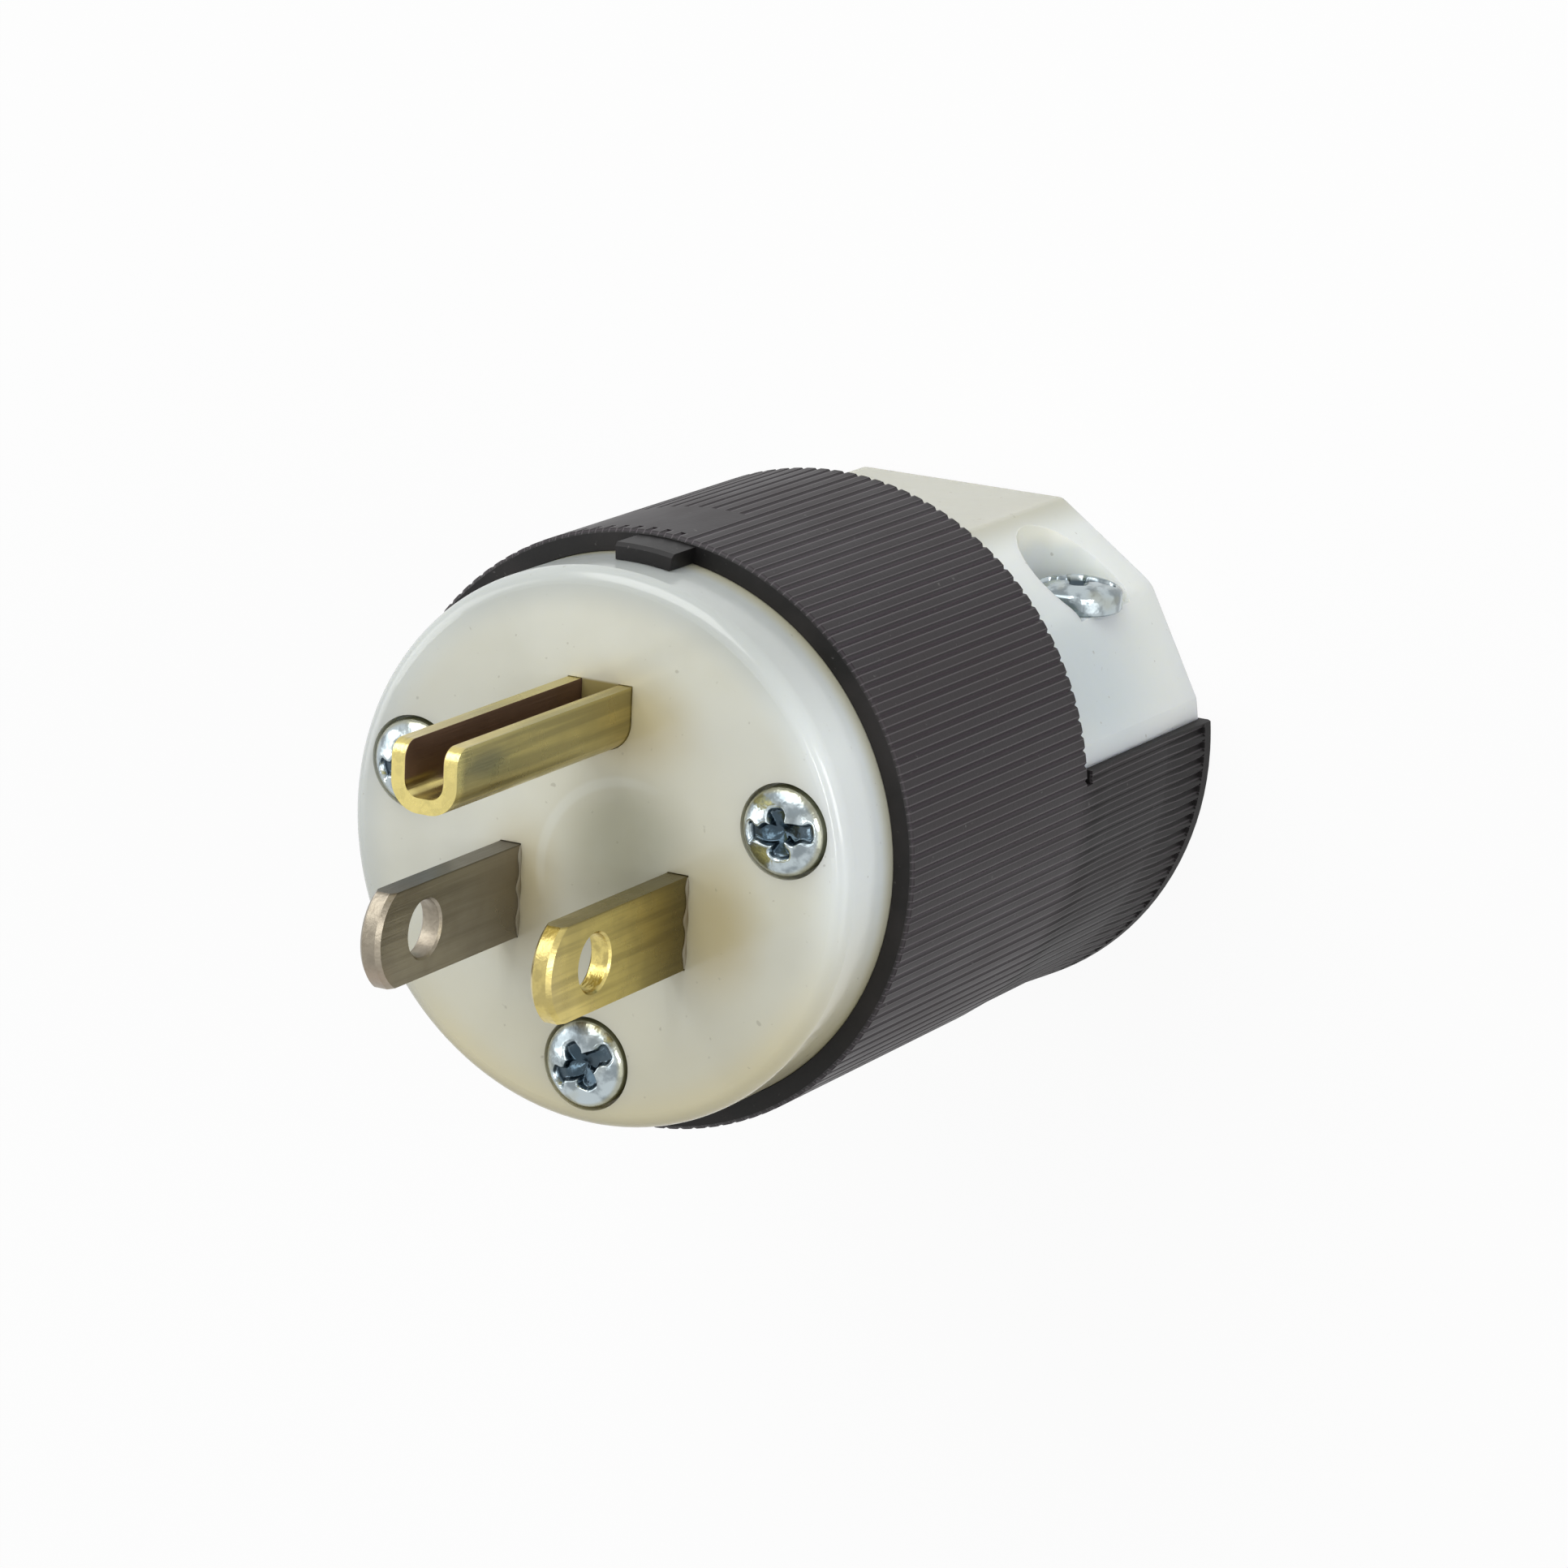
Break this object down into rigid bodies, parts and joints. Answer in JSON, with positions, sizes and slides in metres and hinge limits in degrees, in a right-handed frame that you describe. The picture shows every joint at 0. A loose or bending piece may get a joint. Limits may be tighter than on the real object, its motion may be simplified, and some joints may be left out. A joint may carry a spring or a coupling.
{
  "type": "mains plug",
  "caption": "Wireable mains plug: ribbed black round shell, white face with two flat blades and a folded channel ground pin, and a screwed white cord clamp at the rear.",
  "frame": {"origin": "centre of the flat rear end that the plug stands on, on the axis of the round body", "axes": "+Z runs along the body's axis to the blade tips, +Y points from the axis to the ground pin, +X to the brass blade"},
  "size_m": [0.0412, 0.0409, 0.0717],
  "materials": {
    "shell_nylon": "satin moulded nylon, near black",
    "face_nylon": "natural white nylon, semi gloss",
    "clamp_nylon": "natural white nylon, semi gloss",
    "brass": "stamped and tumbled",
    "pin_brass": "folded sheet, lightly worn",
    "nickel": "dull nickel plate",
    "zinc": "bright zinc plate",
    "plate_steel": "plain plate",
    "green_paint": "green lacquer"
  },
  "bodies": {
    "root": {"outer_shell": "shell_nylon", "cord_clamp": "clamp_nylon", "face_insert": "face_nylon", "terminal_block": "face_nylon", "blade_hot": "brass", "blade_neutral": "nickel", "ground_pin": "pin_brass", "face_screw_right": "zinc", "face_nut_right": "zinc", "face_screw_left": "zinc", "face_nut_left": "zinc", "face_screw_lower": "zinc", "face_nut_lower": "zinc", "clamp_screw_right": "zinc", "clamp_nut_right": "zinc", "clamp_screw_left": "zinc", "clamp_nut_left": "zinc", "terminal_screw_hot": "brass", "wire_plate_hot": "plate_steel", "terminal_screw_neutral": "nickel", "wire_plate_neutral": "plate_steel", "terminal_screw_ground": "green_paint", "wire_plate_ground": "plate_steel"}
  },
  "joints": []
}
